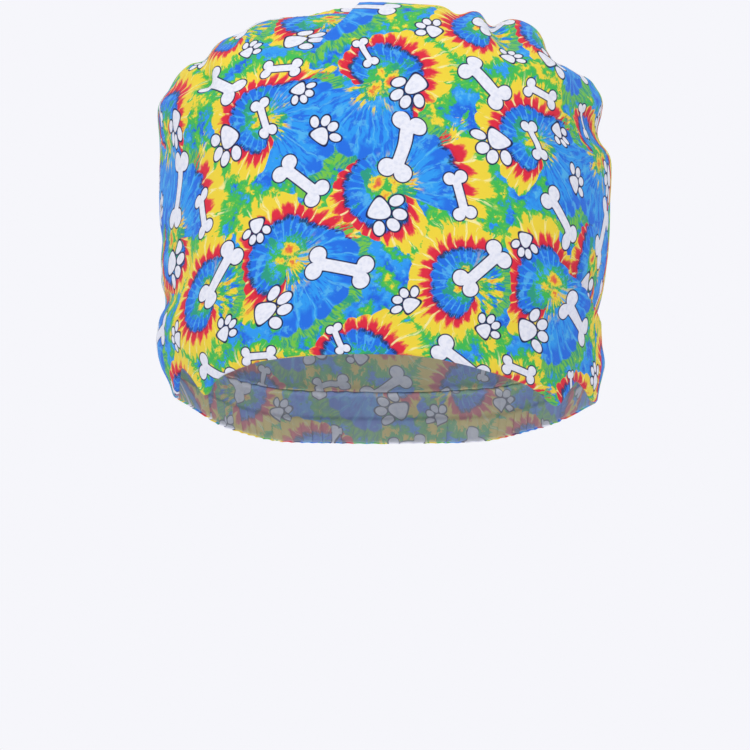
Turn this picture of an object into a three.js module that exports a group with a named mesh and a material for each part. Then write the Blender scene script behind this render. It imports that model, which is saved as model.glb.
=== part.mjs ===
// A soft cotton surgical scrub cap, open at the bottom, in the shape it takes on a head.
// Millimetres, +Z up. The front faces -Y and the wearer's left hand is at +X.
// The origin is the middle of the head opening, level with the tips of the temple tabs.

import * as THREE from 'three';
import { mergeVertices } from 'three/addons/utils/BufferGeometryUtils.js';

// Driving dimensions
const CLOTH = 1.6;            // wall of one layer of puffed, hemmed cloth
const HALF_GAP = 0.35;        // each piece stops this far short of a seam
const SIDE_SEAM = 118;        // degrees round from the front, behind each ear
const CROWN_SEAM = 19;        // place of the crown seam, counted in rows of SECTIONS
const BAND_HEIGHT = 22;       // nape band

// How finely each piece is faceted
const PANEL_COLUMNS = 76;
const PANEL_ROWS = 16;
const BACK_COLUMNS = 22;
const BACK_ROWS = 12;
const BAND_ROWS = 2;
const CROWN_COLUMNS = 48;
const CROWN_ROWS = 5;

// Level cuts through the cap, from the nape to the top. left, right, front and back are where the
// cloth stands on the X and Y axes, squareness is the exponent of the front half's outline, and the
// level rises by lean for each 100 mm towards the front.
const SECTIONS = [
  { z: -34, lean: 0, left: -76, right: 77, front: -86, back: 86, squareness: 2.1 },
  { z: -12, lean: 0, left: -82, right: 83, front: -90, back: 95, squareness: 2.1 },
  { z: 4, lean: 0, left: -85, right: 85.5, front: -93, back: 101, squareness: 2.15 },
  { z: 14, lean: 0, left: -89, right: 87.6, front: -95, back: 104, squareness: 2.3 },
  { z: 23, lean: 0, left: -90.6, right: 86.4, front: -96, back: 106, squareness: 2.5 },
  { z: 32, lean: 0, left: -89.4, right: 85.8, front: -97, back: 107, squareness: 2.7 },
  { z: 42, lean: 0, left: -88.2, right: 88.4, front: -98, back: 107.5, squareness: 2.85 },
  { z: 58, lean: 0, left: -88.4, right: 89.2, front: -98.5, back: 107, squareness: 3 },
  { z: 78, lean: 0, left: -88.8, right: 90.2, front: -98, back: 104.4, squareness: 3 },
  { z: 94, lean: 0, left: -89.2, right: 89.4, front: -97.4, back: 99.3, squareness: 3 },
  { z: 102, lean: 0, left: -89.4, right: 85.6, front: -96.8, back: 95.8, squareness: 3 },
  { z: 114, lean: 0, left: -89.8, right: 85, front: -95.2, back: 90, squareness: 3 },
  { z: 121, lean: 0, left: -85.4, right: 84, front: -93.3, back: 84.6, squareness: 2.9 },
  { z: 126, lean: 0.5, left: -82, right: 81.6, front: -91.8, back: 80, squareness: 2.85 },
  { z: 130, lean: 1, left: -77.5, right: 75, front: -90, back: 75.5, squareness: 2.8 },
  { z: 134, lean: 2.5, left: -70.5, right: 67.5, front: -87, back: 69, squareness: 2.7 },
  { z: 138, lean: 4, left: -65.5, right: 64, front: -83, back: 61, squareness: 2.6 },
  { z: 142, lean: 7, left: -56, right: 58, front: -76, back: 50, squareness: 2.5 },
  { z: 145, lean: 9, left: -44, right: 46, front: -66, back: 34, squareness: 2.4 },
  { z: 146.4, lean: 10.5, left: -31, right: 30, front: -52, back: 18, squareness: 2.3 },
  { z: 147.2, lean: 11, left: -18, right: 20, front: -36, back: 0, squareness: 2.1 },
  { z: 147.4, lean: 11, left: 0.5, right: 0.5, front: -18, back: -18, squareness: 2 },
];
const BACK_SQUARENESS = 2.25; // the back half is rounder, as the back of a head is

// The lower edge all the way round: an arch over the brow, a tab on each temple, a notch over each
// ear, and the drop behind the ears to the nape. Degrees from the front, towards +X.
const EDGE = [
  { angle: -180, z: -20 },
  { angle: -150, z: -18.5 },
  { angle: -128, z: -12.5 },
  { angle: -108, z: -4 },
  { angle: -94, z: 0 },
  { angle: -76, z: 2 },
  { angle: -68, z: 8 },
  { angle: -63, z: 12 },
  { angle: -59, z: 9 },
  { angle: -55, z: 2 },
  { angle: -49, z: 6.5 },
  { angle: -42, z: 10 },
  { angle: -27, z: 15 },
  { angle: -9, z: 17.4 },
  { angle: 4, z: 17.2 },
  { angle: 14, z: 14.6 },
  { angle: 28, z: 9.6 },
  { angle: 38, z: 5.6 },
  { angle: 44, z: 2 },
  { angle: 51, z: -2 },
  { angle: 55, z: 3 },
  { angle: 60, z: 7 },
  { angle: 66, z: 4.5 },
  { angle: 74, z: 0 },
  { angle: 92, z: -2 },
  { angle: 108, z: -5.5 },
  { angle: 128, z: -12.5 },
  { angle: 150, z: -18.5 },
  { angle: 180, z: -20 },
];

// The larger folds of the front and the back half, each along a path given by x and z. A fold is a
// smooth groove of this half-width, as deep as depths says at its start, middle and end, and one
// with negative depths stands out.
const FRONT_FOLDS = [
  { name: 'right_lap', width: 8, depths: [0.5, 3, 0.6], path: [[64, 62], [77, 47], [88, 35]] },
  { name: 'crest_lap', width: 9, depths: [1, 2.8, 2], path: [[-33, 134], [-24, 143], [-18, 151]] },
  { name: 'right_pinch', width: 5, depths: [1, 3.5, 3], path: [[50, 133], [47, 138], [42, 148]] },
  { name: 'right_ridge', width: 6, depths: [-0.5, -2, -0.8], path: [[55, 127], [56, 136], [55, 145]] },
  { name: 'right_corner', width: 5, depths: [0.5, 3, 1], path: [[62, 144], [66, 135], [73, 127]] },
  { name: 'right_bend', width: 6, depths: [1, 3, 2], path: [[90, 105.5], [76, 110], [78, 122]] },
  { name: 'right_drape', width: 8, depths: [1, 2.2, 0.5], path: [[78, 98], [80, 78], [78, 60]] },
  { name: 'left_notch', width: 6, depths: [2.5, 2.5, 1.5], path: [[-90, 38.5], [-81, 43], [-75, 66]] },
  { name: 'left_drape', width: 7, depths: [1, 2.4, 0.8], path: [[-69, 106], [-73, 86], [-75, 66]] },
  { name: 'left_pinch', width: 5, depths: [1.5, 3.5, 1], path: [[-71.5, 136], [-69.5, 124], [-80, 117]] },
];
const BACK_FOLDS = [
  { name: 'back_left', width: 8, depths: [0.5, 2, 3], path: [[-44, 74], [-47, 35], [-48, 4]] },
  { name: 'back_middle', width: 8, depths: [0.5, 2, 3], path: [[6, 84], [3, 40], [4, 4]] },
  { name: 'back_right', width: 8, depths: [0.5, 2, 3], path: [[46, 74], [48, 35], [50, 4]] },
];
const FRONT_HOLDS = -12;      // the y up to which the front folds are whole
const FRONT_ENDS = 22;        // and by which they have faded out
const BACK_HOLDS = 56;        // the same for the back folds

const MM_PER_DEGREE = 1.7;    // along the cloth where the cap is widest

const radians = THREE.MathUtils.degToRad;
const mix = THREE.MathUtils.lerp;

// A smooth value between rows of a table, at a place counted in rows.
function between(rows, column, place) {
  const last = rows.length - 1;
  const i = Math.min(Math.floor(place), last - 1);
  const at = (k) => rows[Math.min(Math.max(k, 0), last)][column];
  const t = place - i;
  const rise = (at(i + 1) - at(i - 1)) / 2;
  const nextRise = (at(i + 2) - at(i)) / 2;
  const step = at(i + 1) - at(i);
  return at(i) + t * (rise + t * (3 * step - 2 * rise - nextRise + t * (rise + nextRise - 2 * step)));
}

// The height of the lower edge at an angle.
function edgeHeight(angle) {
  const i = Math.min(EDGE.findLastIndex((row) => row.angle <= angle), EDGE.length - 2);
  const place = i + (angle - EDGE[i].angle) / (EDGE[i + 1].angle - EDGE[i].angle);
  return between(EDGE, 'z', place);
}

// The place in SECTIONS whose level has this height, found by halving.
function placeOfHeight(z) {
  let low = 0;
  let high = SECTIONS.length - 1;
  for (let step = 0; step < 40; step++) {
    const middle = (low + high) / 2;
    if (between(SECTIONS, 'z', middle) < z) low = middle;
    else high = middle;
  }
  return low;
}

function signedPower(value, exponent) {
  return Math.sign(value) * Math.abs(value) ** exponent;
}

// A point of the smooth form, before any fold.
function smoothPoint(angle, place) {
  const at = (column) => between(SECTIONS, column, place);
  const left = at('left');
  const right = at('right');
  const front = at('front');
  const back = at('back');
  const ahead = Math.abs(THREE.MathUtils.euclideanModulo(angle + 180, 360) - 180) < 90;
  const power = 2 / (ahead ? at('squareness') : BACK_SQUARENESS);
  const x = (left + right) / 2 + (right - left) / 2 * signedPower(Math.sin(radians(angle)), power);
  const y = (front + back) / 2 - (back - front) / 2 * signedPower(Math.cos(radians(angle)), power);
  return new THREE.Vector3(x, y, at('z') - at('lean') * y / 100);
}

// The outward direction, from points a little to each side.
function outward(angle, place) {
  const turn = 1.5;
  const climb = 0.08;
  const top = SECTIONS.length - 1;
  const round = smoothPoint(angle + turn, place).sub(smoothPoint(angle - turn, place));
  const high = Math.min(place + climb, top);
  const low = Math.max(place - climb, 0);
  const up = smoothPoint(angle, high).sub(smoothPoint(angle, low));
  return round.cross(up).normalize();
}

// How far a point on x and z is from a path, and its share of the way along.
function fromPath(path, x, z) {
  const point = new THREE.Vector3(x, 0, z);
  const corner = ([cornerX, cornerZ]) => new THREE.Vector3(cornerX, 0, cornerZ);
  const steps = path.slice(1).map((end, k) => {
    const line = new THREE.Line3(corner(path[k]), corner(end));
    const t = line.closestPointToPointParameter(point, true);
    return { away: line.at(t, new THREE.Vector3()).distanceTo(point), share: (k + t) / (path.length - 1) };
  });
  return steps.reduce((best, step) => (step.away < best.away ? step : best));
}

// How deep these folds press at x and z.
function pressed(folds, x, z) {
  let depth = 0;
  for (const fold of folds) {
    const { away, share } = fromPath(fold.path, x, z);
    const [start, middle, end] = fold.depths;
    const here = share < 0.5 ? mix(start, middle, 2 * share) : mix(middle, end, 2 * share - 1);
    depth += here * Math.exp(-((away / fold.width) ** 2));
  }
  return depth;
}

// How deep all the folds press at a point of the smooth form.
function foldDepth({ x, y, z }) {
  const front = 1 - THREE.MathUtils.smoothstep(y, FRONT_HOLDS, FRONT_ENDS);
  const back = THREE.MathUtils.smoothstep(y, FRONT_ENDS, BACK_HOLDS);
  return front * pressed(FRONT_FOLDS, x, z) + back * pressed(BACK_FOLDS, x, z);
}

// A point of the cloth, this far inside its outer face.
function clothPoint(angle, place, inside) {
  const point = smoothPoint(angle, place);
  const press = foldDepth(point) + inside;
  return point.addScaledVector(outward(angle, place), -press);
}

// A closed wall one layer thick. where(u, v) gives the angle and the place in SECTIONS for u and v
// from 0 to 1. A ring meets itself, and a piece with a tip closes to one point at v = 1.
function clothPiece(name, colour, columns, rows, where, { ring = false, tip = false } = {}) {
  const positions = [];
  const faces = [];
  const wide = ring ? columns : columns + 1;
  const layer = wide * (rows + 1);
  for (const inside of [0, CLOTH]) {
    for (let j = 0; j <= rows; j++) {
      for (let i = 0; i < wide; i++) {
        const { angle, place } = where(i / columns, j / rows);
        positions.push(...clothPoint(angle, place, inside).toArray());
      }
    }
  }
  const corner = (i, j) => j * wide + (i % wide);
  const quad = (a, b, c, d) => faces.push(a, b, c, a, c, d);
  for (let j = 0; j < rows; j++) {
    for (let i = 0; i < columns; i++) {
      const [a, b, c, d] = [corner(i, j), corner(i + 1, j), corner(i + 1, j + 1), corner(i, j + 1)];
      quad(a, b, c, d);
      quad(layer + d, layer + c, layer + b, layer + a);
    }
  }
  for (let i = 0; i < columns; i++) {
    const next = i + 1;
    quad(layer + corner(i, 0), layer + corner(next, 0), corner(next, 0), corner(i, 0));
    if (!tip) quad(corner(i, rows), corner(next, rows), layer + corner(next, rows), layer + corner(i, rows));
  }
  for (let j = 0; j < rows && !ring; j++) {
    quad(corner(0, j + 1), layer + corner(0, j + 1), layer + corner(0, j), corner(0, j));
    const right = columns;
    quad(corner(right, j), layer + corner(right, j), layer + corner(right, j + 1), corner(right, j + 1));
  }
  const loose = new THREE.BufferGeometry();
  loose.setAttribute('position', new THREE.Float32BufferAttribute(positions, 3));
  loose.setIndex(faces);
  const geometry = withoutSlivers(mergeVertices(loose, 1e-3));
  const material = new THREE.MeshStandardMaterial({ color: colour, roughness: 0.85, metalness: 0 });
  const mesh = new THREE.Mesh(geometry, material);
  mesh.name = name;
  return mesh;
}

// The same geometry without the triangles that merging closed to a line.
function withoutSlivers(geometry) {
  const index = geometry.getIndex().array;
  const kept = [];
  for (let i = 0; i < index.length; i += 3) {
    const [a, b, c] = [index[i], index[i + 1], index[i + 2]];
    if (a !== b && b !== c && c !== a) kept.push(a, b, c);
  }
  geometry.setIndex(kept);
  geometry.computeVertexNormals();
  return geometry;
}

const GAP_DEGREES = HALF_GAP / MM_PER_DEGREE;
const GAP_ROWS = 0.02;        // of SECTIONS, at the crown seam

// Printed cloth over the brow, the temples and the ears, up to just behind the top edge.
function frontPanel() {
  const reach = SIDE_SEAM - GAP_DEGREES;
  return clothPiece('front_panel', 0x3b8fd9, PANEL_COLUMNS, PANEL_ROWS, (u, v) => {
    const angle = mix(-reach, reach, u);
    return { angle, place: mix(placeOfHeight(edgeHeight(angle)), CROWN_SEAM - GAP_ROWS, v) };
  });
}

// The height where the nape band ends and the back panel begins.
function bandTop(angle) {
  return edgeHeight(THREE.MathUtils.euclideanModulo(angle + 180, 360) - 180) + BAND_HEIGHT;
}

const backAngle = (u) => mix(SIDE_SEAM + GAP_DEGREES, 360 - SIDE_SEAM - GAP_DEGREES, u);

// The full cloth behind, gathered down into the nape band.
function backPanel() {
  return clothPiece('back_panel', 0x3f9ad0, BACK_COLUMNS, BACK_ROWS, (u, v) => {
    const angle = backAngle(u);
    const start = placeOfHeight(bandTop(angle) + HALF_GAP);
    return { angle, place: mix(start, CROWN_SEAM - GAP_ROWS, v) };
  });
}

// The casing that grips the nape.
function napeBand() {
  return clothPiece('nape_band', 0x2f7fc4, BACK_COLUMNS, BAND_ROWS, (u, v) => {
    const angle = backAngle(u);
    const wrapped = THREE.MathUtils.euclideanModulo(angle + 180, 360) - 180;
    const height = mix(edgeHeight(wrapped), bandTop(angle) - HALF_GAP, v);
    return { angle, place: placeOfHeight(height) };
  });
}

// The oval top, sewn in just behind the top edge.
function crown() {
  const top = SECTIONS.length - 1;
  return clothPiece('crown', 0x46a5d8, CROWN_COLUMNS, CROWN_ROWS, (u, v) => (
    { angle: u * 360, place: mix(CROWN_SEAM + GAP_ROWS, top, v) }
  ), { ring: true, tip: true });
}

const cap = new THREE.Group();
cap.name = 'scrub_cap';
cap.add(frontPanel(), backPanel(), napeBand(), crown());

export default cap;
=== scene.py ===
import math

import bpy
import numpy as np
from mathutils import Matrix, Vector


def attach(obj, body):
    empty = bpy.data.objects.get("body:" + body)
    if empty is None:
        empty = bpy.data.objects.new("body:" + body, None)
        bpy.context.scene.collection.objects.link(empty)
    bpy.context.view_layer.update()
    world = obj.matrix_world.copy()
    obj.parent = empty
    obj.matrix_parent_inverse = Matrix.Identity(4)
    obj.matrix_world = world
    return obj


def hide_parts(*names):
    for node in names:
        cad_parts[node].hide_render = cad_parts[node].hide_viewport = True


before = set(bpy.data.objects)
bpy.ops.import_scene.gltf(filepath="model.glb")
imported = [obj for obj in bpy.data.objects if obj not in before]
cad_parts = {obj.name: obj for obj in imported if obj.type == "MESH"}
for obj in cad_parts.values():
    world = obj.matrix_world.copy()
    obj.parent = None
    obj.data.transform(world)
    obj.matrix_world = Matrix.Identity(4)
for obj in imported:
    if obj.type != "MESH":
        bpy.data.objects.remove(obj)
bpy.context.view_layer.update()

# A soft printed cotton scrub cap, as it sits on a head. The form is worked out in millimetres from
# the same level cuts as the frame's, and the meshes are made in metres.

MM = 0.001

# ---------------------------------------------------------------------------------------------
# The form

CLOTH = 0.9              # mm, one layer of cotton with its finish
HEM = 10                 # mm turned up along the lower edge
HEM_ROUNDING = 0.7       # mm
HEM_STEP = 0.8           # mm in which the second layer of the hem ends
SIDE_SEAM = 118          # degrees round from the front, behind each ear
CROWN_SEAM = 19          # place of the crown seam, counted in rows of SECTIONS
BAND_HEIGHT = 22         # mm
BACK_SQUARENESS = 2.25
MM_PER_DEGREE = 1.7      # along the cloth where the cap is widest
MM_PER_ROW = 16          # along the cloth beside the crown seam

# Level cuts: height, rise to the front per 100 mm, where the cloth stands on the X and Y axes, and
# the exponent of the front half's outline.
SECTION_COLUMNS = ("z", "lean", "left", "right", "front", "back", "squareness")
SECTIONS = (
    (-34, 0, -76, 77, -86, 86, 2.1),
    (-12, 0, -82, 83, -90, 95, 2.1),
    (4, 0, -85, 85.5, -93, 101, 2.15),
    (14, 0, -89, 87.6, -95, 104, 2.3),
    (23, 0, -90.6, 86.4, -96, 106, 2.5),
    (32, 0, -89.4, 85.8, -97, 107, 2.7),
    (42, 0, -88.2, 88.4, -98, 107.5, 2.85),
    (58, 0, -88.4, 89.2, -98.5, 107, 3),
    (78, 0, -88.8, 90.2, -98, 104.4, 3),
    (94, 0, -89.2, 89.4, -97.4, 99.3, 3),
    (102, 0, -89.4, 85.6, -96.8, 95.8, 3),
    (114, 0, -89.8, 85, -95.2, 90, 3),
    (121, 0, -85.4, 84, -93.3, 84.6, 2.9),
    (126, 0.5, -82, 81.6, -91.8, 80, 2.85),
    (130, 1, -77.5, 75, -90, 75.5, 2.8),
    (134, 2.5, -70.5, 67.5, -87, 69, 2.7),
    (138, 4, -65.5, 64, -83, 61, 2.6),
    (142, 7, -56, 58, -76, 50, 2.5),
    (145, 9, -44, 46, -66, 34, 2.4),
    (146.4, 10.5, -31, 30, -52, 18, 2.3),
    (147.2, 11, -18, 20, -36, 0, 2.1),
    (147.4, 11, 0.5, 0.5, -18, -18, 2),
)
SECTION = dict(zip(SECTION_COLUMNS, np.array(SECTIONS, float).T))
TOP = len(SECTIONS) - 1

# The lower edge: degrees from the front towards +X, and height.
EDGE = (
    (-180, -20), (-150, -18.5), (-128, -12.5), (-108, -4), (-94, 0), (-76, 2), (-68, 8), (-63, 12),
    (-59, 9), (-55, 2), (-49, 6.5), (-42, 10), (-27, 15), (-9, 17.4), (4, 17.2), (14, 14.6),
    (28, 9.6), (38, 5.6), (44, 2), (51, -2), (55, 3), (60, 7), (66, 4.5), (74, 0), (92, -2),
    (108, -5.5), (128, -12.5), (150, -18.5), (180, -20),
)

# Folds of the front half. A path is given by x and z. A groove is pressed in by the depths at its
# start, middle and end, and a negative one stands out. At a lap the cloth to the left of the path
# tucks under the cloth to its right.
FOLD_COLUMNS = ("name", "kind", "width", "reach", "depths", "tuck", "path")
FOLDS = (
    ("right_lap", "lap", 9, 12, (0.5, 4, 0.6), 10,
     ((61, 60), (67.5, 51), (72.5, 45.5), (78, 38.5), (84, 31.5), (90, 26.5))),
    ("crest_lap", "lap", 12, 30, (1, 3.4, 2.6), 6,
     ((-27, 127), (-25, 133), (-21.6, 137.4), (-15.3, 143.4), (-10.3, 150), (-7.5, 156))),
    ("crest_back", "groove", 5, 5, (0.5, 1.2, 0.3), 0, ((-36, 136), (-30, 143), (-24, 149))),
    ("crest_dip", "groove", 4.5, 4.5, (0.2, 1.5, 3), 0, ((26, 134), (27.5, 142), (28.5, 151))),
    ("left_dip", "groove", 4, 4, (0.1, 0.8, 1.0), 0, ((-58, 130), (-56, 137), (-54, 143))),
    ("right_pinch", "groove", 4, 4, (1, 4.5, 5), 0, ((50, 133), (47.5, 137), (44, 142), (42, 148))),
    ("right_ridge", "groove", 6, 6, (-0.5, -2, -0.8), 0, ((55, 127), (56, 134), (56, 140), (55, 145))),
    ("right_corner", "groove", 4, 4, (0.5, 3, 1), 0, ((62, 144), (65, 136), (69, 130.5), (73, 127))),
    ("right_shelf", "groove", 4, 4, (1, 2.5, 1), 0, ((73, 132), (76, 125), (77, 119))),
    ("right_bend", "groove", 5, 5, (1, 3, 2), 0,
     ((90, 105.5), (82, 106), (76, 111), (74, 117), (78, 122))),
    ("right_outer", "groove", 4, 4, (-1, -1.5, -0.5), 0, ((85, 120), (81, 114), (82, 110))),
    ("right_drape", "groove", 8, 8, (1, 2.2, 0.5), 0, ((78, 98), (80, 78), (78, 60))),
    ("right_front_drape", "groove", 9, 9, (0.3, 1.1, 0.3), 0, ((64, 112), (66, 92), (68, 72))),
    ("left_notch", "groove", 4.5, 4.5, (2.5, 2.5, 1.5), 0,
     ((-90, 38.5), (-83, 40), (-80, 46), (-77, 56), (-75, 66))),
    ("left_squeeze", "groove", 4, 4, (0.5, 2, 1), 0, ((-76, 47), (-80, 58), (-86, 63))),
    ("left_drape", "groove", 7, 7, (1, 2.4, 0.8), 0, ((-69, 106), (-72.5, 90), (-74, 79), (-75, 66))),
    ("left_outer_drape", "groove", 4, 4, (0.5, 2, 0.5), 0, ((-82, 114), (-84, 96), (-84, 78))),
    ("left_pinch", "groove", 3.5, 3.5, (1.5, 3.5, 1), 0,
     ((-71.5, 136), (-69.5, 129), (-69.5, 123), (-74, 121), (-80, 117))),
    ("left_fan", "groove", 3, 3, (2, 1.5, 0.5), 0, ((-69.5, 124), (-66, 117), (-64, 110))),
    ("left_corner", "groove", 5, 5, (0.5, -1, -0.3), 0, ((-51, 132), (-50, 140), (-49, 147))),
    ("left_tab", "groove", 4, 4, (0.5, 2, 0.5), 0, ((-76, 6), (-79, 13), (-83, 20), (-86, 26))),
    ("left_tab_front", "groove", 4, 4, (0.2, 1.2, 0.3), 0, ((-69, 6), (-70, 14), (-72, 22))),
    ("right_tab", "groove", 4, 4, (0.5, 2, 0.5), 0, ((74, 4), (77, 12), (82, 19))),
    ("right_tab_front", "groove", 3.5, 3.5, (0.4, 1.3, 0.3), 0, ((65, 3), (66, 12), (68, 20))),
)
LAP_LIFT = 0.5           # how far the upper cloth stands out, as a share of how deep the lower lies
FRONT_ENDS = 22          # mm, the y by which the folds of the front half have faded out
FRONT_FADE = 34          # mm they take to fade
LAP_START = 0.12         # share of its path over which a lap deepens
LAP_EDGE = 0.3           # mm to either side of a lap's path in which its step lies
LAP_FADE = 0.6           # rows over which a lap flattens to be sewn into the crown seam

# Seams are rounded valleys, and the cloth is gathered into some of them.
SEAM_DEPTH = 1.1         # mm
SEAM_WIDTH = 1.4
# Gathers: the seam, how many round the whole cap, and their depth and reach in mm.
GATHERS = (("band", 72, 1.7, 24), ("crown", 52, 1.0, 12))
FRONT_GATHERS = 0.35     # how deep they are in front, as a share of behind
ELASTIC = 0.7            # mm, the ripple that elastic leaves in the nape band
ELASTIC_COUNT = 108      # ripples round the whole cap
# How unevenly the gathers are spaced: radians, waves round the cap, and where they start.
GATHER_STAGGER = ((1.3, 5, 0.7), (0.9, 13, 0))
# The faint waves of slack cloth: depth in mm, waves round the cap, mm of height to a radian, shift.
SLACK_WAVES = ((0.35, 3, 19, 0.6), (0.25, 7, -13, 2.1), (0.18, 12, 9, 0), (0.12, 5, -6, 1.0))


def catmull(values, place):
    """Smooth values between the rows of a column, at places counted in rows."""
    last = len(values) - 1
    i = np.minimum(np.floor(place), last - 1).astype(int)
    t = place - i
    before, start, end, after = (values[np.clip(i + k, 0, last)] for k in (-1, 0, 1, 2))
    rise, next_rise, step = (end - before) / 2, (after - start) / 2, end - start
    return start + t * (rise + t * (3 * step - 2 * rise - next_rise + t * (rise + next_rise - 2 * step)))


def wrapped(angle):
    return (angle + 180) % 360 - 180


def edge_height(angle):
    angles, heights = np.array(EDGE, float).T
    place = np.interp(wrapped(angle), angles, np.arange(len(angles)))
    return catmull(heights, place)


def place_of_height(z):
    places = np.linspace(0, TOP, 4000)
    return np.interp(z, catmull(SECTION["z"], places), places)


def smoothstep(low, high, value):
    t = np.clip((value - low) / (high - low), 0, 1)
    return t * t * (3 - 2 * t)


def signed_power(value, exponent):
    return np.sign(value) * np.abs(value) ** exponent


def smooth_point(angle, place):
    """Points of the form before any fold, in millimetres."""
    z, lean, left, right, front, back, squareness = (
        catmull(SECTION[c], place) for c in SECTION_COLUMNS
    )
    turn = np.radians(angle)
    power = 2 / np.where(np.cos(turn) > 0, squareness, BACK_SQUARENESS)
    x = (left + right) / 2 + (right - left) / 2 * signed_power(np.sin(turn), power)
    y = (front + back) / 2 - (back - front) / 2 * signed_power(np.cos(turn), power)
    return np.stack([x, y, z - lean * y / 100], -1)


def unit(vectors):
    return vectors / np.maximum(np.linalg.norm(vectors, axis=-1, keepdims=True), 1e-9)


def outward(angle, place):
    round_it = smooth_point(angle + 1.5, place) - smooth_point(angle - 1.5, place)
    up = smooth_point(angle, np.minimum(place + 0.08, TOP)) - smooth_point(
        angle, np.maximum(place - 0.08, 0)
    )
    return unit(np.cross(round_it, up))


def along(path, x, z):
    """Share of the way along a path, distance from it, and signed distance to its left."""
    nearest = np.full(x.shape, np.inf)
    share, side = np.zeros(x.shape), np.zeros(x.shape)
    steps = len(path) - 1
    for k, ((x0, z0), (x1, z1)) in enumerate(zip(path, path[1:])):
        dx, dz = x1 - x0, z1 - z0
        length = math.hypot(dx, dz)
        t = np.clip(((x - x0) * dx + (z - z0) * dz) / length**2, 0, 1)
        away = np.hypot(x - x0 - t * dx, z - z0 - t * dz)
        closer = away < nearest
        nearest = np.where(closer, away, nearest)
        share = np.where(closer, (k + t) / steps, share)
        left = np.sign((z - z0) * dx - (x - x0) * dz)
        side = np.where(closer, left * away, side)
    return share, nearest, side


def folds():
    return [dict(zip(FOLD_COLUMNS, row)) for row in FOLDS]


def fold_depth(points, place):
    """How deep the folds press into the cloth at points of the smooth form."""
    x, y, z = np.moveaxis(points, -1, 0)
    depth = np.zeros_like(x)
    for fold in folds():
        share, away, side = along(fold["path"], x, z)
        here = np.interp(share, (0, 0.5, 1), fold["depths"])
        if fold["kind"] == "groove":
            depth += here * np.exp(-((away / fold["width"]) ** 2))
            continue
        under = smoothstep(-LAP_EDGE, LAP_EDGE, side)
        here = here * smoothstep(0, LAP_START, share)
        here = here * smoothstep(CROWN_SEAM, CROWN_SEAM - LAP_FADE, place)
        depth += here * under * np.exp(-((away / fold["reach"]) ** 2))
        depth -= LAP_LIFT * here * (1 - under) * np.exp(-((away / fold["width"]) ** 2))
    return depth * smoothstep(FRONT_ENDS, FRONT_ENDS - FRONT_FADE, y)


def seam_depth(angle, place, z):
    """The valleys of the seams, and the gathers that run into them."""
    turn = np.abs(wrapped(angle))
    side = (turn - SIDE_SEAM) * MM_PER_DEGREE
    band = z - edge_height(angle) - BAND_HEIGHT
    crown = (CROWN_SEAM - place) * MM_PER_ROW
    behind = smoothstep(SIDE_SEAM - 0.5, SIDE_SEAM + 0.5, turn)
    valley = np.exp(-((side / SEAM_WIDTH) ** 2)) * (place < CROWN_SEAM)
    valley = np.maximum(valley, np.exp(-((band / SEAM_WIDTH) ** 2)) * behind)
    valley = np.maximum(valley, np.exp(-((crown / SEAM_WIDTH) ** 2)))
    depth = SEAM_DEPTH * valley
    stagger = sum(size * np.sin(np.radians(angle) * count + shift) for size, count, shift in GATHER_STAGGER)
    inside = smoothstep(SIDE_SEAM, SIDE_SEAM + 8, turn)  # degrees
    for name, count, deep, reach in GATHERS:
        from_seam = band if name == "band" else crown
        weight = inside if name == "band" else FRONT_GATHERS + (1 - FRONT_GATHERS) * inside
        wave = 0.5 - 0.5 * np.cos(np.radians(angle) * count + stagger)
        uneven = 0.7 + 0.3 * np.sin(np.radians(angle) * 9 + count)
        fade = np.where(from_seam > 0, np.exp(-from_seam / (reach * uneven)), 0)
        depth += deep * weight * wave * fade * uneven
    ripple = 0.5 - 0.5 * np.cos(np.radians(angle) * ELASTIC_COUNT + stagger)
    return depth + ELASTIC * inside * ripple * (band < 0) * smoothstep(0, -3, band)


def slack(angle, z):
    """The faint unevenness of cloth that nothing pulls tight."""
    turn = np.radians(angle)
    return sum(depth * np.sin(count * turn + z / rise + shift) for depth, count, rise, shift in SLACK_WAVES)


def cloth_point(angle, place):
    """Points of the folded cloth's outer face."""
    points = smooth_point(angle, place)
    depth = fold_depth(points, place) + seam_depth(angle, place, points[..., 2])
    depth += slack(angle, points[..., 2]) * smoothstep(TOP, TOP - 2, place)
    return points - outward(angle, place) * depth[..., None]


SNAP = 0.8               # mm within which the mesh is drawn onto the edge of a lap
SNAP_TO = 0.31           # mm to either side of that edge
SNAP_FARTHEST = 1.2      # mm


def crossed(path, angle, place):
    """Share of the way along a path, and signed distance to its left, at points of the smooth form."""
    x, _, z = np.moveaxis(smooth_point(angle, place), -1, 0)
    share, _, side = along(path, x, z)
    return share, side


def snapped(angle, place):
    """Grid points moved so that the mesh's own lines run along the edges of the laps."""
    for fold in folds():
        if fold["kind"] != "lap":
            continue
        path = fold["path"]
        here = smooth_point(angle, place)
        share, side = crossed(path, angle, place)
        step_angle, step_place = 0.2, 0.02
        row = np.linalg.norm(smooth_point(angle, place + step_place) - here, axis=-1)
        turn = np.linalg.norm(smooth_point(angle + step_angle, place) - here, axis=-1)
        by_turn = (crossed(path, angle + step_angle, place)[1] - side) / turn
        by_row = (crossed(path, angle, place + step_place)[1] - side) / row
        slope = by_turn**2 + by_row**2 + 1e-6
        near = (np.abs(side) < SNAP * np.sqrt(slope)) & (share > 0.01) & (share < 0.99)
        near &= here[..., 1] < FRONT_ENDS
        move = np.where(near, (np.sign(side) * SNAP_TO - side) / slope, 0)
        move = np.clip(move, -SNAP_FARTHEST, SNAP_FARTHEST)
        angle = angle + move * by_turn * step_angle / turn
        place = place + move * by_row * step_place / row
    return angle, place


# ---------------------------------------------------------------------------------------------
# The print: a chart of one repeat of it, in mm. u runs to the wearer's left, v up.

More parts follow.
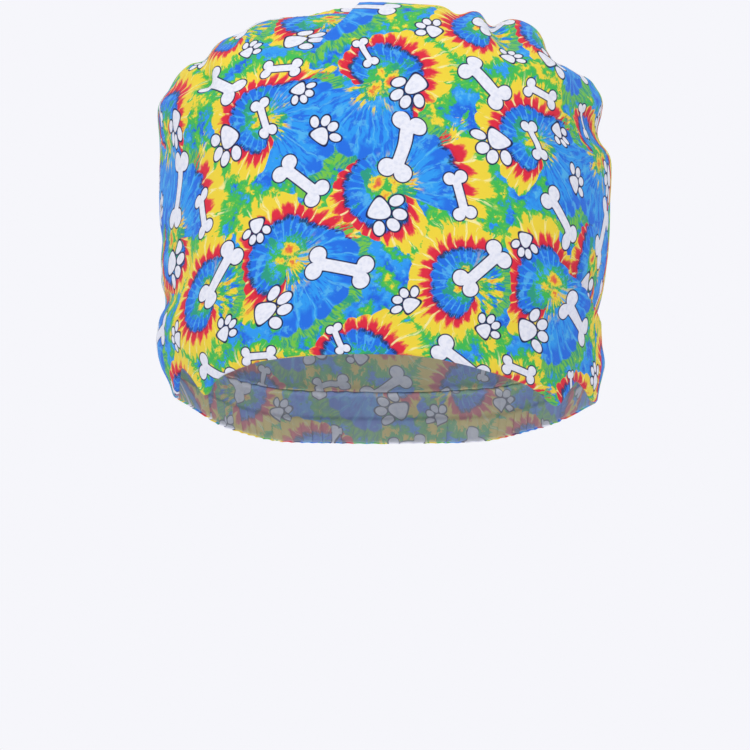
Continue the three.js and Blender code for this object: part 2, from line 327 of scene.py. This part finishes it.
REPEAT = (102, 109)      # mm across and up
DROOP = 22               # mm the grain sinks one repeat out from the middle of the brow
PRINT_LEVEL = 69.2       # mm, the height of v = 0 at the middle of the brow
WEFT_LEAN = 0.084        # how far the print leans off the grain of the cloth
WARP_LEAN = 0.044
# Where the middle of each other piece was cut from the print, mm.
CUTS = {"back_panel": (31, 12), "nape_band": (64, 40), "crown": (20, 75)}
TUCK_REACH = 40          # mm over which the cloth hidden in a lap is taken up again

# Bones: middle, direction in degrees, and length between the middles of the knobs.
BONES = (
    (5, 26, 71, 19.5), (69, 13.5, 141, 16.5), (86.5, 89.5, 168, 18.5), (37.5, 93.5, 50, 17.5),
    (34.5, 56, 147, 17), (58.5, 58.5, 175, 11.5), (55.5, 38.5, 107, 11), (90.5, 62.5, 113, 9),
    (26.5, 10, 110, 13.5),
)
# Paw prints: middle of the pad, direction of the toes, width of the pad.
PAWS = (
    (99, 2, -27, 9), (9, 50.5, -125, 8.5), (60.5, 75, 17, 9), (40.5, 34.5, -126, 9),
    (76.5, 29.5, 48, 7), (68, 48, -42, 5.5), (53, 108.5, -87, 6), (13.5, 76, 147, 6.5),
    (43, 70, 51, 6),
)
# Dye swirls: middle, direction where the edge begins, radius, and how far the open end spreads,
# negative where the edge turns red again at the end of it.
SWIRLS = (
    (98, 51, -167, 15.5, 1.1), (101, 10, -17, 15.5, -0.8), (55, 38, -67, 13.5, 1.2),
    (66, 94, -85, 15.5, 0.9), (32, 87, -48, 13.5, 0.15),
)
# The radius of a swirl's heart, as a share of its full one, is least where the edge begins. Turns
# are shares of a full turn from there.
SWIRL_START = 0.5
SWIRL_FULL = 0.12        # turn by which the radius is whole
SWIRL_OPENS = (0.6, 0.8)  # turns between which the edge runs outward
SWIRL_RETURNS = 0.83     # turn from which a negative spread is red again


def steps_between(points, axis):
    lengths = np.linalg.norm(np.diff(points, axis=axis), axis=-1)
    return np.concatenate([np.zeros_like(np.take(lengths, [0], axis)), np.cumsum(lengths, axis)], axis)


def tucked_cloth(angle, place):
    """How far the laps take the print along the cloth, in millimetres across and up."""
    x, y, z = np.moveaxis(smooth_point(angle, place), -1, 0)
    shift = np.zeros(x.shape + (2,))
    for fold in folds():
        if fold["kind"] != "lap":
            continue
        share, away, side = along(fold["path"], x, z)
        (x0, z0), (x1, z1) = fold["path"][0], fold["path"][-1]
        length = math.hypot(x1 - x0, z1 - z0)
        tucked = fold["tuck"] * np.interp(share, (0, 0.6, 1), (0, 1, 1)) * (side > 0)
        tucked *= np.exp(-away / TUCK_REACH) * smoothstep(FRONT_ENDS, FRONT_ENDS - FRONT_FADE, y)
        shift += tucked[..., None] * np.array([z0 - z1, x1 - x0]) / length
    return shift


def cloth_coordinates(angle, place, cut):
    """Where each point of a piece lies on the flat print, in millimetres."""
    if cut == "crown":
        return smooth_point(angle, place)[..., :2] + CUTS[cut]
    level = np.linspace(0, TOP, 500)
    turns = np.linspace(-180, 180, 721)
    ring = smooth_point(*np.meshgrid(turns, level))
    around = steps_between(ring, 1)
    around -= around[:, [len(turns) // 2]]
    rise = steps_between(ring, 0)
    rise -= np.array([np.interp(place_of_height(PRINT_LEVEL), level, rise[:, k]) for k in range(len(turns))])
    turned = wrapped(angle)

    def look_up(table):
        i = np.clip((turned + 180) * 2, 0, len(turns) - 1.001)
        j = np.clip(place / TOP * (len(level) - 1), 0, len(level) - 1.001)
        i0, j0 = i.astype(int), j.astype(int)
        fi, fj = i - i0, j - j0
        low = table[j0, i0] * (1 - fi) + table[j0, i0 + 1] * fi
        high = table[j0 + 1, i0] * (1 - fi) + table[j0 + 1, i0 + 1] * fi
        return low * (1 - fj) + high * fj

    if cut == "front_panel":
        across, up = look_up(around), look_up(rise)
        shift = tucked_cloth(angle, place)
        up = up + DROOP * (across / REPEAT[0]) ** 2 + shift[..., 1]
        across = across + shift[..., 0]
    else:
        across = look_up(np.where(turns >= 0, around - around[:, [-1]], around - around[:, [0]]))
        across, up = across + CUTS[cut][0], look_up(rise) + CUTS[cut][1]
    return np.stack([across - WEFT_LEAN * up, up + WARP_LEAN * across], -1)


def seen_from(offset, chart_row):
    """Offsets in mm turned into a motif's own axes, in units of its size."""
    turn = math.radians(chart_row[2])
    x = offset[..., 0] * math.cos(turn) + offset[..., 1] * math.sin(turn)
    y = -offset[..., 0] * math.sin(turn) + offset[..., 1] * math.cos(turn)
    return np.stack([x, y], -1) / chart_row[3]


def local(cloth, chart_row):
    """Cloth points seen from one motif, in units of its size, in the nearest repeat."""
    half = np.array(REPEAT) / 2
    offset = (cloth - chart_row[:2] + half) % REPEAT - half
    return seen_from(offset, chart_row)


def local_corners(corners, middles, chart_row):
    """The same for the corners of faces, all in the repeat that is nearest to the face's middle."""
    return local(middles, chart_row)[:, None] + seen_from(corners - middles[:, None], chart_row)


# A bone in units of its length: the middle of a knob, a knob's radius, and the shaft's half width.
KNOB = (0.5, 0.16)
KNOB_RADIUS = 0.168
SHAFT = 0.115
PAW_MIDDLE = 0.3         # the middle of a whole paw print, in widths of its pad


def bone_distance(p):
    x, y = np.abs(p[..., 0]), np.abs(p[..., 1])
    knob = np.hypot(x - KNOB[0], y - KNOB[1]) - KNOB_RADIUS
    return np.minimum(knob, np.maximum(y - SHAFT, x - KNOB[0]))


def paw_distance(p):
    return np.hypot(p[..., 0] - PAW_MIDDLE, p[..., 1]) - 1


def motif_attribute(corners, middles):
    """The nearest motif's own coordinates at each corner, and its size, negative for a paw."""
    best = np.full(len(middles), np.inf)
    out = np.zeros(corners.shape[:2] + (3,))
    for sign, chart, distance in ((1, BONES, bone_distance), (-1, PAWS, paw_distance)):
        for row in chart:
            away = distance(local(middles, row)) * row[3]
            nearer = away < best
            best[nearer] = away[nearer]
            out[nearer, :, :2] = local_corners(corners[nearer], middles[nearer], row)
            out[nearer, :, 2] = sign * row[3]
    return out


def swirl_edge(p, spread):
    """The radius of a swirl's blue heart in each direction, as the material has it."""
    turn = (-np.arctan2(p[..., 1], p[..., 0]) / (2 * math.pi)) % 1
    growth = (1 - SWIRL_START) * smoothstep(0, SWIRL_FULL, turn)
    return SWIRL_START + growth + abs(spread) * smoothstep(*SWIRL_OPENS, turn)


def swirl_attributes(corners, middles):
    """The nearest and next swirls' own coordinates at each corner, with their spread."""
    away = []
    for row in SWIRLS:
        p = local(middles, row)
        away.append(np.linalg.norm(p, axis=-1) / swirl_edge(p, row[4]))
    order = np.argsort(np.array(away), axis=0)
    out = []
    for rank in (0, 1):
        values = np.zeros(corners.shape[:2] + (3,))
        for k, row in enumerate(SWIRLS):
            chosen = order[rank] == k
            values[chosen, :, :2] = local_corners(corners[chosen], middles[chosen], row)
            values[chosen, :, 2] = row[4]
        out.append(values)
    return out


# ---------------------------------------------------------------------------------------------
# Meshes


def add_vectors(mesh, name, values):
    made = mesh.attributes.new(name, "FLOAT_VECTOR", "CORNER")
    made.data.foreach_set("vector", np.ascontiguousarray(values, np.float32).ravel())


def print_on(mesh, cloth_at_corner, wrong_side):
    """Writes the print's coordinates to a mesh of quads, from cloth points at each corner."""
    corners = cloth_at_corner.reshape(-1, 4, 2)
    middles = corners.mean(1)
    layer = mesh.uv_layers.new(name="cloth")
    layer.uv.foreach_set("vector", np.ascontiguousarray(corners, np.float32).ravel() / REPEAT[0])
    add_vectors(mesh, "motif", motif_attribute(corners, middles))
    near, following = swirl_attributes(corners, middles)
    add_vectors(mesh, "swirl_near", near)
    add_vectors(mesh, "swirl_next", following)
    side = mesh.attributes.new("wrong_side", "FLOAT", "CORNER")
    side.data.foreach_set("value", np.repeat(wrong_side, 4).astype(np.float32))


def cloth_sheet(cut, angle, place, ring=False, hem=False):
    """A piece of cloth with two faces and turned edges, over a grid of angles and places."""
    outer = cloth_point(angle, place)
    cloth = cloth_coordinates(angle, place, cut)
    around = np.gradient(outer, axis=1)
    if ring:
        around = (np.roll(outer, -1, 1) - np.roll(outer, 1, 1)) / 2
    normal = unit(np.cross(around, np.gradient(outer, axis=0)))
    thickness = np.full(angle.shape, CLOTH)
    if hem:
        from_edge = outer[..., 2] - edge_height(angle)
        thickness = thickness + CLOTH * smoothstep(HEM + HEM_STEP, HEM, from_edge)
        rounding = HEM_ROUNDING * np.exp(-((from_edge / HEM_ROUNDING) ** 2))
        outer = outer - normal * rounding[..., None]
        thickness = thickness - rounding
    inner = outer - normal * thickness[..., None]
    rows, columns = angle.shape
    points = np.concatenate([outer.reshape(-1, 3), inner.reshape(-1, 3)])
    flat = np.concatenate([cloth.reshape(-1, 2), cloth.reshape(-1, 2)])
    index = np.arange(rows * columns).reshape(rows, columns)
    across = np.concatenate([index, index[:, :1]], 1) if ring else index
    a, b, c, d = across[:-1, :-1], across[:-1, 1:], across[1:, 1:], across[1:, :-1]
    front = np.stack([a, b, c, d], -1).reshape(-1, 4)
    layer = rows * columns
    back = front[:, ::-1] + layer
    rims = []

    def rim(line, other_way):
        quad = np.stack([line[:-1], line[:-1] + layer, line[1:] + layer, line[1:]], -1)
        rims.append(quad[:, ::-1] if other_way else quad)

    rim(across[0], False)
    rim(across[-1], True)
    if not ring:
        rim(index[:, 0], True)
        rim(index[:, -1], False)
    faces = np.concatenate([front, back, *rims])
    wrong = np.zeros(len(faces))
    wrong[len(front):] = 1
    if hem:
        wrong[len(front) + len(back):][:len(across[0]) - 1] = 0
    name = cut + "_cloth"
    mesh = bpy.data.meshes.new(name)
    mesh.from_pydata((points * MM).tolist(), [], faces.tolist())
    mesh.update()
    print_on(mesh, flat[faces], wrong)
    mesh.shade_smooth()
    piece = bpy.data.objects.new(name, mesh)
    bpy.context.scene.collection.objects.link(piece)
    return piece


# ---------------------------------------------------------------------------------------------
# The cloth's material


class Field:
    """A number or colour worked out at each point of a surface by shader nodes."""

    def __init__(self, socket):
        self.socket = socket
        self.tree = socket.id_data

    def math(self, operation, *others):
        node = self.tree.nodes.new("ShaderNodeMath")
        node.operation = operation
        for slot, value in zip(node.inputs, (self, *others)):
            feed(self.tree, slot, value)
        return Field(node.outputs[0])

    def __add__(self, other):
        return self.math("ADD", other)

    def __radd__(self, other):
        return self.math("ADD", other)

    def __sub__(self, other):
        return self.math("SUBTRACT", other)

    def __rsub__(self, other):
        return self.math("MULTIPLY", -1).math("ADD", other)

    def __mul__(self, other):
        return self.math("MULTIPLY", other)

    def __truediv__(self, other):
        return self.math("DIVIDE", other)

    def least(self, other):
        return self.math("MINIMUM", other)

    def most(self, other):
        return self.math("MAXIMUM", other)

    def smooth(self, low, high):
        """0 below low and 1 above high, with a soft turn between; low may be the larger."""
        node = self.tree.nodes.new("ShaderNodeMapRange")
        node.interpolation_type = "SMOOTHSTEP"
        feed(self.tree, node.inputs["Value"], self)
        feed(self.tree, node.inputs["From Min"], low)
        feed(self.tree, node.inputs["From Max"], high)
        return Field(node.outputs["Result"])

    def xyz(self):
        node = self.tree.nodes.new("ShaderNodeSeparateXYZ")
        feed(self.tree, node.inputs[0], self)
        return [Field(s) for s in node.outputs]

    def vector(self, operation, *others):
        node = self.tree.nodes.new("ShaderNodeVectorMath")
        node.operation = operation
        slots = [s for s in node.inputs if s.enabled]
        for slot, value in zip(slots, (self, *others)):
            feed(self.tree, slot, value)
        return Field(next(s for s in node.outputs if s.enabled))

    def noise(self, scale, detail=2, rough=0.5, output="Fac"):
        node = self.tree.nodes.new("ShaderNodeTexNoise")
        feed(self.tree, node.inputs["Vector"], self)
        node.inputs["Scale"].default_value = scale
        node.inputs["Detail"].default_value = detail
        node.inputs["Roughness"].default_value = rough
        return Field(node.outputs[output])


def feed(tree, slot, value):
    if isinstance(value, Field):
        tree.links.new(value.socket, slot)
    elif value is not None:
        slot.default_value = value


def attribute(tree, name, output="Vector"):
    node = tree.nodes.new("ShaderNodeAttribute")
    node.attribute_name = name
    return Field(node.outputs[output])


def combine(x, y, z=0.0):
    node = x.tree.nodes.new("ShaderNodeCombineXYZ")
    for slot, value in zip(node.inputs, (x, y, z)):
        feed(x.tree, slot, value)
    return Field(node.outputs[0])


def blend(first, second, factor):
    """A colour between two, which are fields or colours."""
    node = factor.tree.nodes.new("ShaderNodeMix")
    node.data_type = "RGBA"
    feed(factor.tree, node.inputs["Factor"], factor)
    for slot, value in zip([s for s in node.inputs if s.type == "RGBA"], (first, second)):
        feed(factor.tree, slot, value if isinstance(value, Field) else (*value, 1))
    return Field(next(s for s in node.outputs if s.type == "RGBA"))


def srgb(red, green, blue):
    """A colour by the numbers a paint program shows, as the shader wants it."""
    return tuple(
        c / 255 / 12.92 if c <= 10 else ((c / 255 + 0.055) / 1.055) ** 2.4 for c in (red, green, blue)
    )


YELLOW = srgb(243, 216, 62)
PALE_YELLOW = srgb(250, 240, 170)
ORANGE = srgb(236, 130, 62)
RED = srgb(226, 44, 66)
SOFT_RED = srgb(226, 92, 84)
DEEP_BLUE = srgb(34, 104, 224)
BLUE = srgb(48, 157, 240)
PALE_BLUE = srgb(96, 196, 238)
GREEN = srgb(66, 190, 84)
LEAF_GREEN = srgb(120, 200, 70)
SEA_GREEN = srgb(46, 160, 130)
WHITE = srgb(240, 241, 247)
SHADED_WHITE = srgb(226, 229, 240)
WRONG_SIDE = srgb(225, 228, 232)
NAVY = srgb(26, 36, 80)

CRIMSON = srgb(206, 30, 58)
PINK = srgb(240, 120, 120)

PETALS = 25
WEAVE = 0.3              # mm, the relief of the threads
WEAVE_STRENGTH = 0.35
WEAVE_SCALES = (60, 700)  # noise cells to a width of the print, along and across a thread
OUTLINE = 0.5            # mm, the navy line round a motif
PRINT_SOFTNESS = 0.12    # mm
WRONG_SIDE_SHARE = 0.45  # how far the wrong side fades to its own colour
# Where the warm spots of a swirl's core lie, in shares of its radius, and how wide they are.
SPOTS = ((0.14, 0.2, 0.1), (-0.22, 0.06, 0.12), (0.02, -0.2, 0.07))


def mottled_ground(cloth):
    """The dye between the swirls: blue, with blotches of green and yellow."""
    ground = blend(BLUE, DEEP_BLUE, cloth.noise(11, 4, 0.6).smooth(0.46, 0.62))
    ground = blend(ground, PALE_BLUE, cloth.noise(26, 5, 0.72).smooth(0.52, 0.66) * 0.75)
    blotch = cloth.noise(8.5, 5, 0.66)
    ground = blend(ground, SEA_GREEN, blotch.smooth(0.47, 0.5) * 0.8)
    ground = blend(ground, GREEN, blotch.smooth(0.485, 0.525))
    ground = blend(ground, LEAF_GREEN, blotch.smooth(0.53, 0.58) * 0.8)
    return blend(ground, YELLOW, blotch.smooth(0.565, 0.61))


class Swirl:
    """What the dye of one swirl is worked out from: lengths are shares of its heart's full radius."""

    def __init__(self, place, wobble, grain):
        self.x, self.y, signed_spread = place.xyz()
        self.grain = grain
        self.spread = signed_spread.math("ABSOLUTE")
        self.radius = combine(self.x, self.y).vector("LENGTH")
        angle = self.y.math("ARCTAN2", self.x)
        turn = (angle * (-1 / (2 * math.pi))).math("FRACT")
        self.opening = turn.smooth(*SWIRL_OPENS)
        wave = angle * (PETALS / 2) + (wobble - 0.5) * 4
        self.petal = wave.math("SINE").math("ABSOLUTE")
        self.gap = self.petal.smooth(0.42, 0.1)
        # streaks along the radius, from wide to narrow, and spots that lie in no direction
        self.broad = combine(wave * 0.28, self.radius * 1.1, self.spread * 13).noise(2.2, 3, 0.6)
        self.streak = combine(wave * 0.4, self.radius * 0.9, self.spread * 7).noise(2.6, 3, 0.6)
        self.fine = combine(wave * 1.1, self.radius * 1.3, self.spread * 11).noise(2.6, 3, 0.65)
        self.spot = combine(self.x, self.y, self.spread * 5).noise(3.4, 4, 0.65)
        # where the rings round the heart have given way to a green fringe
        gone = (self.opening + (self.streak - 0.5) * 1.6).smooth(0.46, 0.54)
        returned = (turn + (self.fine - 0.5) * 0.12).smooth(SWIRL_RETURNS - 0.004, SWIRL_RETURNS + 0.002)
        self.gone = gone * (1 - returned * signed_spread.math("LESS_THAN", 0))
        edge = turn.smooth(0, SWIRL_FULL) * (1 - SWIRL_START) + SWIRL_START + self.spread * self.opening
        self.edge = edge * (self.petal * 0.06 + 0.95) + (wobble - 0.5) * 0.3
        self.out = self.radius - self.edge + (grain - 0.5) * 0.14

    def spots(self):
        """How far outside the core's warm spots a point is."""
        away = None
        for x, y, size in SPOTS:
            one = combine(self.x - x, (self.y - y) * 0.8).vector("LENGTH") - size
            away = one if away is None else away.least(one)
        return away + (self.spot - 0.5) * 0.55 + (self.grain - 0.5) * 0.2

    def heart(self):
        """Blue, with deeper petals round its rim, a green core with warm spots, and open streaks."""
        lobe = self.out.smooth(-0.55, -0.3) * self.petal.smooth(0.2, 0.65)
        deep = (lobe * 0.85).most(self.streak.smooth(0.46, 0.6) * self.radius.smooth(0.35, 0.6) * 0.85)
        pale = (self.gap * self.fine.smooth(0.44, 0.56) * 0.7).most(self.spot.smooth(0.54, 0.66) * 0.6)
        heart = blend(blend(BLUE, DEEP_BLUE, deep), PALE_BLUE, pale)
        core = (self.radius + (self.spot - 0.5) * 2.2 + (self.fine - 0.5) * 0.5).smooth(0.56, 0.44)
        heart = blend(heart, blend(GREEN, SEA_GREEN, self.spot.smooth(0.5, 0.42)), core)
        away = self.spots()
        heart = blend(heart, YELLOW, away.smooth(0.07, 0.01))
        heart = blend(heart, ORANGE, away.smooth(-0.01, -0.07))
        heart = blend(heart, SOFT_RED, away.smooth(-0.08, -0.12))
        # green and yellow streaks run out of the open end, most of all where it hardly spreads
        rays = blend(GREEN, YELLOW, (self.broad * 0.6 + self.spot * 0.4).smooth(0.5, 0.56))
        rays = blend(rays, ORANGE, (self.broad * 0.5 + self.spot * 0.5).smooth(0.58, 0.63) * 0.8)
        tight = self.spread.smooth(0.3, 0.2)
        reach = self.radius.smooth(0.2, 0.32) * (self.radius - tight * 0.7).smooth(0.95, 0.7)
        amount = (self.broad * 0.8 + self.fine * 0.2 + tight * 0.05).smooth(0.5, 0.56)
        return blend(heart, rays, self.opening * reach * amount)

    def rings(self, ground):
        """Red petals, then yellow and green with pale rays, then the ground."""
        out, streak, spot = self.out, self.streak, self.spot
        tip = self.petal * 0.16 + (streak - 0.5) * 0.6 + 0.17
        red = blend(CRIMSON, RED, out.smooth(0, 0.1))
        red = blend(red, PINK, (out - tip * 0.6).smooth(0, 0.2) * 0.55)
        ring = blend(red, ORANGE, (out - tip).smooth(-0.07, 0))
        ring = blend(ring, YELLOW, (out - tip).smooth(-0.02, 0.06))
        ragged = streak + self.petal * 0.12 + (spot - 0.5) * 0.5
        ring = blend(ring, LEAF_GREEN, (out - ragged - 0.12).smooth(-0.05, 0.02))
        ring = blend(ring, GREEN, (out - ragged - 0.16).smooth(-0.03, 0.05))
        ring = blend(ring, ground, (out - ragged - 0.36 - (spot - 0.5) * 0.8).smooth(-0.03, 0.05))
        ray = self.gap * self.fine.smooth(0.47, 0.55) * out.smooth(0.02, 0.1) * out.smooth(1.1, 0.6)
        ring = blend(ring, PALE_YELLOW, ray * 0.9)
        fringe = blend(SEA_GREEN, LEAF_GREEN, self.fine.smooth(0.42, 0.56))
        fringe = blend(fringe, ground, (out - streak * 0.6).smooth(-0.05, 0.05))
        return blend(ring, fringe, self.gone)

    def colour(self, ground):
        colour = blend(self.heart(), self.rings(ground), self.out.smooth(-0.03, 0.03))
        line = (self.out + 0.03).math("ABSOLUTE").smooth(0.09, 0.03)
        broken = (self.fine * 0.5 + self.spot * 0.5).smooth(0.47, 0.53)
        return blend(colour, NAVY, line * (1 - self.gone) * broken * 0.85)

    def far(self):
        """How far out a point is, in shares of the radius of the heart's edge there."""
        return self.radius / self.edge


def tie_dye(tree, cloth):
    wobble = cloth.noise(7, 2, 0.5)
    grain = cloth.noise(75, 3, 0.7)
    ground = mottled_ground(cloth)
    near = Swirl(attribute(tree, "swirl_near"), wobble, grain)
    following = Swirl(attribute(tree, "swirl_next"), wobble, grain)
    nearer = (following.far() - near.far()).smooth(-0.006, 0.006)
    return blend(following.colour(ground), near.colour(ground), nearer)


# A paw's pad is bounded by a heel and two sides: the way each faces, and how far out it is.
PAD_SIDES = ((-1, 0, 0.37), (0.408, 0.913, 0.4))
PAD_TIP = 0.55
# Toes on one side: along, aside, and the way they point in degrees.
TOES = ((0.86, 0.25, 14), (0.44, 0.66, 50))
TOE_LENGTH = 0.3
TOE_WIDTH = 0.225
# How far the straight sides of a bone and of a pad are rounded into each other.
BONE_BLEND = 0.05
PAD_BLEND = 0.7
TIP_BLEND = 0.45


def motif_mask(tree):
    """How far outside the nearest bone or paw print a point is, in millimetres."""
    x, y, size = attribute(tree, "motif").xyz()
    aside = y.math("ABSOLUTE")
    knob = combine(x.math("ABSOLUTE") - KNOB[0], aside - KNOB[1]).vector("LENGTH") - KNOB_RADIUS
    shaft = (aside - SHAFT).most(x.math("ABSOLUTE") - KNOB[0])
    bone = knob.math("SMOOTH_MIN", shaft, BONE_BLEND)
    heel, side = (x * nx + aside * ny - far for nx, ny, far in PAD_SIDES)
    paw = heel.math("SMOOTH_MAX", side, PAD_BLEND).math("SMOOTH_MAX", x - PAD_TIP, TIP_BLEND)
    for along, out, turn in TOES:
        c, s = math.cos(math.radians(turn)), math.sin(math.radians(turn))
        dx, dy = x - along, aside - out
        away = combine((dx * c + dy * s) / TOE_LENGTH, (dy * c - dx * s) / TOE_WIDTH)
        paw = paw.least((away.vector("LENGTH") - 1) * TOE_WIDTH)
    is_paw = size.math("LESS_THAN", 0)
    return (bone + (paw - bone) * is_paw) * size.math("ABSOLUTE")


def printed_cotton():
    material = bpy.data.materials.new("printed_cotton")
    material.use_nodes = True
    tree = material.node_tree
    shader = tree.nodes["Principled BSDF"]
    shader.inputs["Roughness"].default_value = 0.92
    shader.inputs["Specular IOR Level"].default_value = 0.25
    shader.inputs["Sheen Weight"].default_value = 0.08
    uv = tree.nodes.new("ShaderNodeUVMap")
    uv.uv_map = "cloth"
    cloth = Field(uv.outputs[0])
    colour = tie_dye(tree, cloth)
    away = motif_mask(tree)
    fill = blend(WHITE, SHADED_WHITE, cloth.noise(60, 2).smooth(0.4, 0.7))
    colour = blend(colour, NAVY, away.smooth(OUTLINE + PRINT_SOFTNESS, OUTLINE - PRINT_SOFTNESS))
    colour = blend(colour, fill, away.smooth(PRINT_SOFTNESS, -PRINT_SOFTNESS))
    across, up, _ = cloth.xyz()
    long, short = WEAVE_SCALES
    weft = combine(across * long, up * short).noise(1, 2, 0.6)
    warp = combine(across * short, up * long).noise(1, 2, 0.6)
    bump = tree.nodes.new("ShaderNodeBump")
    bump.inputs["Strength"].default_value = WEAVE_STRENGTH
    bump.inputs["Distance"].default_value = WEAVE * MM
    feed(tree, bump.inputs["Height"], weft + warp)
    feed(tree, shader.inputs["Normal"], Field(bump.outputs[0]))
    wrong = attribute(tree, "wrong_side", "Fac")
    pale = blend(colour, WRONG_SIDE, wrong * WRONG_SIDE_SHARE)
    feed(tree, shader.inputs["Base Color"], pale)
    return material


# ---------------------------------------------------------------------------------------------
# The pieces

COTTON = printed_cotton()
EDGE_CROWDING = 0.12
CROWN_POLE = 0.03        # rows


def grid(columns, rows):
    return np.meshgrid(np.linspace(0, 1, columns + 1), np.linspace(0, 1, rows + 1))


def finish_cloth(piece, node):
    piece.data.materials.append(COTTON)
    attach(piece, "root")
    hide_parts(node)


def rising(start, end, share):
    """Places from one to another, closer together beside the lower edge."""
    eased = share + EDGE_CROWDING * np.sin(math.pi * share) * (share - 1)
    return start + (end - start) * eased


def front_panel():
    u, v = grid(310, 156)
    angle = SIDE_SEAM * (2 * u - 1)
    start = place_of_height(edge_height(angle))
    angle, place = snapped(angle, rising(start, CROWN_SEAM, v))
    piece = cloth_sheet("front_panel", angle, place, hem=True)
    finish_cloth(piece, "front_panel")


def back_angle(u):
    return SIDE_SEAM + (360 - 2 * SIDE_SEAM) * u


def back_panel():
    u, v = grid(230, 120)
    angle = back_angle(u)
    start = place_of_height(edge_height(angle) + BAND_HEIGHT)
    piece = cloth_sheet("back_panel", angle, start + (CROWN_SEAM - start) * v)
    finish_cloth(piece, "back_panel")


def nape_band():
    u, v = grid(320, 24)
    angle = back_angle(u)
    place = place_of_height(edge_height(angle) + BAND_HEIGHT * v)
    piece = cloth_sheet("nape_band", angle, place, hem=True)
    finish_cloth(piece, "nape_band")


def crown():
    u, v = grid(240, 50)
    angle = -180 + 360 * u[:, :-1]
    place = CROWN_SEAM + (TOP - CROWN_POLE - CROWN_SEAM) * v[:, :-1]
    piece = cloth_sheet("crown", angle, place, ring=True)
    finish_cloth(piece, "crown")


front_panel()
back_panel()
nape_band()
crown()

# ---------------------------------------------------------------------------------------------
# Camera, lights and floor

CAMERA = (-0.0036, -1.3, 0.010)  # m, level with the temples and looking along +Y
SENSOR = 36              # mm
LENS = 156               # mm
PALE = srgb(244, 244, 249)
PALE_LIGHT = srgb(244, 244, 250)
PALE_BACKDROP = srgb(246, 246, 251)
FLOOR_HALF = 3.0         # m
FLOOR_Z = -0.42
BACKDROP_HALF = 2.6
BACKDROP_Y = 2.4
LIT_POINT = (0, 0, 0.07)  # m, the middle of the cap
WORLD_STRENGTH = 0.76
# Soft square lights: power in watts, side in m, and place.
LIGHTS = {
    "key": (9, 1.2, (-0.9, -1.6, 0.9)),
    "fill": (3, 1.2, (1.0, -1.5, 0.5)),
    "top": (3, 1.0, (0.0, -0.3, 1.4)),
}


def add_camera():
    data = bpy.data.cameras.new("camera")
    data.sensor_width = SENSOR
    data.lens = LENS
    camera = bpy.data.objects.new("camera", data)
    camera.location = CAMERA
    camera.rotation_euler = (math.radians(90), 0, 0)
    bpy.context.scene.collection.objects.link(camera)
    bpy.context.scene.camera = camera


def add_light(name, energy, size, location):
    data = bpy.data.lights.new(name, "AREA")
    data.energy = energy
    data.size = size
    light = bpy.data.objects.new(name, data)
    light.location = location
    direction = Vector(LIT_POINT) - Vector(location)
    light.rotation_euler = direction.to_track_quat("-Z", "Y").to_euler()
    bpy.context.scene.collection.objects.link(light)


def stage_plane(name, corners):
    """A rectangle that isn't part of the object. Gives its shader, to be coloured."""
    mesh = bpy.data.meshes.new(name)
    mesh.from_pydata(corners, [], [(0, 1, 2, 3)])
    plane = bpy.data.objects.new(name, mesh)
    material = bpy.data.materials.new(name)
    material.use_nodes = True
    mesh.materials.append(material)
    bpy.context.scene.collection.objects.link(plane)
    return material.node_tree.nodes["Principled BSDF"]


def add_floor():
    s, z = FLOOR_HALF, FLOOR_Z
    shader = stage_plane("floor", [(-s, -s, z), (s, -s, z), (s, s, z), (-s, s, z)])
    shader.inputs["Base Color"].default_value = (*PALE, 1)
    shader.inputs["Roughness"].default_value = 0.9


def add_backdrop():
    s, y = BACKDROP_HALF, BACKDROP_Y
    shader = stage_plane("backdrop", [(-s, y, -s), (s, y, -s), (s, y, s), (-s, y, s)])
    shader.inputs["Base Color"].default_value = (0, 0, 0, 1)
    shader.inputs["Specular IOR Level"].default_value = 0
    shader.inputs["Emission Color"].default_value = (*PALE_BACKDROP, 1)
    shader.inputs["Emission Strength"].default_value = 1


def add_world():
    world = bpy.data.worlds.new("studio")
    world.use_nodes = True
    background = world.node_tree.nodes["Background"]
    background.inputs["Color"].default_value = (*PALE_LIGHT, 1)
    background.inputs["Strength"].default_value = WORLD_STRENGTH
    bpy.context.scene.world = world


add_camera()
add_floor()
add_backdrop()
add_world()
for light_name, settings in LIGHTS.items():
    add_light(light_name, *settings)
bpy.context.scene.view_settings.view_transform = "Standard"
